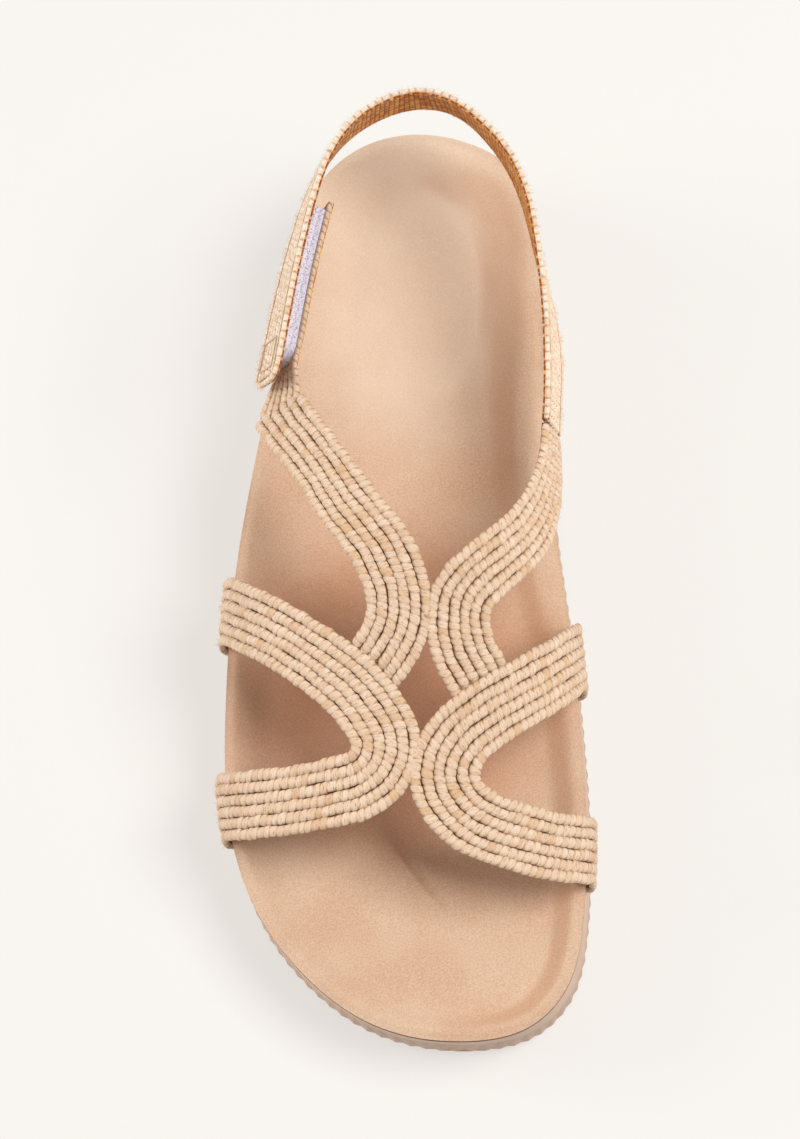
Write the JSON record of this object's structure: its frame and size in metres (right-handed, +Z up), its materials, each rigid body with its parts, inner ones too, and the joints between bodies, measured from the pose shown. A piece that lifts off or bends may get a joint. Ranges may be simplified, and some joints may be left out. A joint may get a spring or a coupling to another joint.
{
  "type": "raffia sandal",
  "caption": "Flat woman's sandal: raffia cord bands cross over a contoured suede footbed on a toothed rubber sole, with a woven heel strap closed by hook-and-loop at the outer ankle.",
  "frame": {"origin": "on the ground, below the middle of the sandal's box", "axes": "+Z up, +Y to the heel, +X to the inner (big toe) side of this right shoe"},
  "size_m": [0.1002, 0.2489, 0.0783],
  "materials": {
    "sole_rubber": "matte taupe",
    "footbed_side": "smooth matte taupe",
    "suede": "suede nap",
    "raffia": "wrapped raffia cords",
    "raffia_weave": "fine raffia weave",
    "loop_tape": "looped pile",
    "hook_tape": "hooked pile"
  },
  "bodies": {
    "root": {"outsole": "sole_rubber", "midsole": "footbed_side", "insole": "suede", "upper": "raffia", "heel_strap": "raffia_weave", "closure_tab": "raffia_weave", "loop_pad": "loop_tape", "hook_pad": "hook_tape"}
  },
  "joints": []
}
